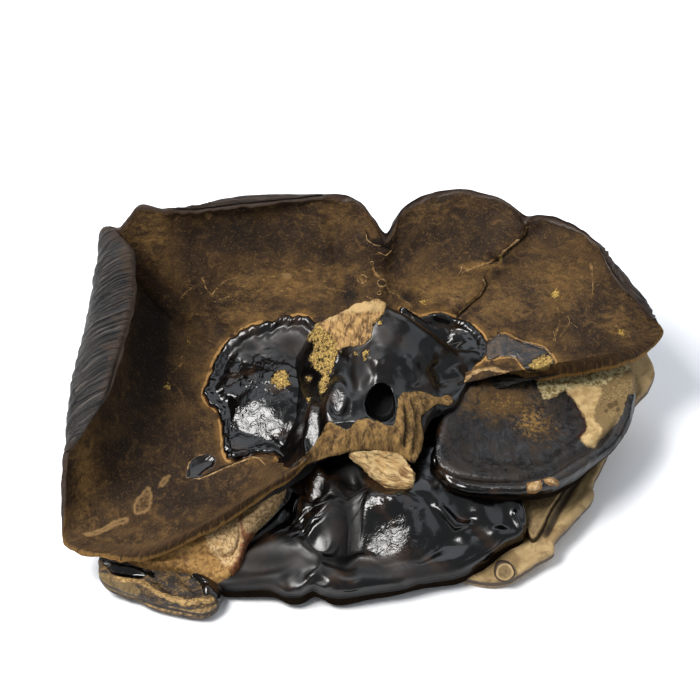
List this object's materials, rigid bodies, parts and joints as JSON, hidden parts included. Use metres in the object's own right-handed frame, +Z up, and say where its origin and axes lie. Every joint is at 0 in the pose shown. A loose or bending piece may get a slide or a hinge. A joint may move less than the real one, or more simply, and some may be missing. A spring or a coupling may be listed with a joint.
{
  "type": "bracket fungus",
  "caption": "Large lacquered bracket fungus lying on its back: an upturned curled cap with a knobbly stem stub and glossy rolled lobes under its front edge.",
  "frame": {"origin": "middle of the bounding box's bottom, on the surface that the fungus lies on", "axes": "+X to the right along the greatest width, +Y to the back where the cap's wall is highest, +Z up"},
  "size_m": [0.3662, 0.2534, 0.1278],
  "materials": {
    "lacquered_fungus": "dry brown pore face and glossy black lacquered crust"
  },
  "bodies": {
    "root": {"bracket_fungus": "lacquered_fungus"}
  },
  "joints": []
}
